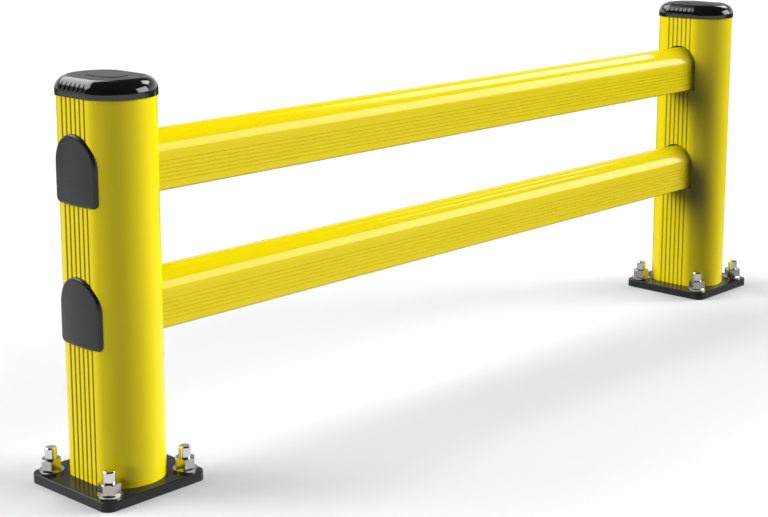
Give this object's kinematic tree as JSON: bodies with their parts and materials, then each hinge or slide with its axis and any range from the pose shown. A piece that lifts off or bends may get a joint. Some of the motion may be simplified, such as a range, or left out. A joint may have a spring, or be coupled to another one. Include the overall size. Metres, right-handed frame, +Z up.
{
  "type": "industrial guard rail",
  "caption": "Low barrier of two hollow rails between two capped posts, each post on a square base plate with anchor studs.",
  "frame": {"origin": "centre of the object's footprint, on the floor", "axes": "+X along the rails from the left post to the right post, -Y the viewer's side, +Z up"},
  "size_m": [1.85, 0.2, 0.654],
  "materials": {
    "sleeve": "smooth satin",
    "rail": "smooth satin",
    "core": "powder coat",
    "cap": "glossy moulded",
    "cover": "matt moulded",
    "plate": "gloss powder coat",
    "rod": "zinc plated",
    "stud": "bright zinc",
    "washer": "bright zinc",
    "nut": "bright zinc"
  },
  "bodies": {
    "root": {"left_post_sleeve": "sleeve", "left_post_core": "core", "left_post_cap": "cap", "left_base_plate": "plate", "left_locking_rod": "rod", "left_upper_end_cover": "cover", "left_lower_end_cover": "cover", "left_anchor_stud_1": "stud", "left_anchor_washer_1": "washer", "left_anchor_nut_1": "nut", "left_anchor_stud_2": "stud", "left_anchor_washer_2": "washer", "left_anchor_nut_2": "nut", "left_anchor_stud_3": "stud", "left_anchor_washer_3": "washer", "left_anchor_nut_3": "nut", "left_anchor_stud_4": "stud", "left_anchor_washer_4": "washer", "left_anchor_nut_4": "nut", "right_post_sleeve": "sleeve", "right_post_core": "core", "right_post_cap": "cap", "right_base_plate": "plate", "right_locking_rod": "rod", "right_upper_end_cover": "cover", "right_lower_end_cover": "cover", "right_anchor_stud_1": "stud", "right_anchor_washer_1": "washer", "right_anchor_nut_1": "nut", "right_anchor_stud_2": "stud", "right_anchor_washer_2": "washer", "right_anchor_nut_2": "nut", "right_anchor_stud_3": "stud", "right_anchor_washer_3": "washer", "right_anchor_nut_3": "nut", "right_anchor_stud_4": "stud", "right_anchor_washer_4": "washer", "right_anchor_nut_4": "nut", "upper_rail": "rail", "lower_rail": "rail"}
  },
  "joints": []
}
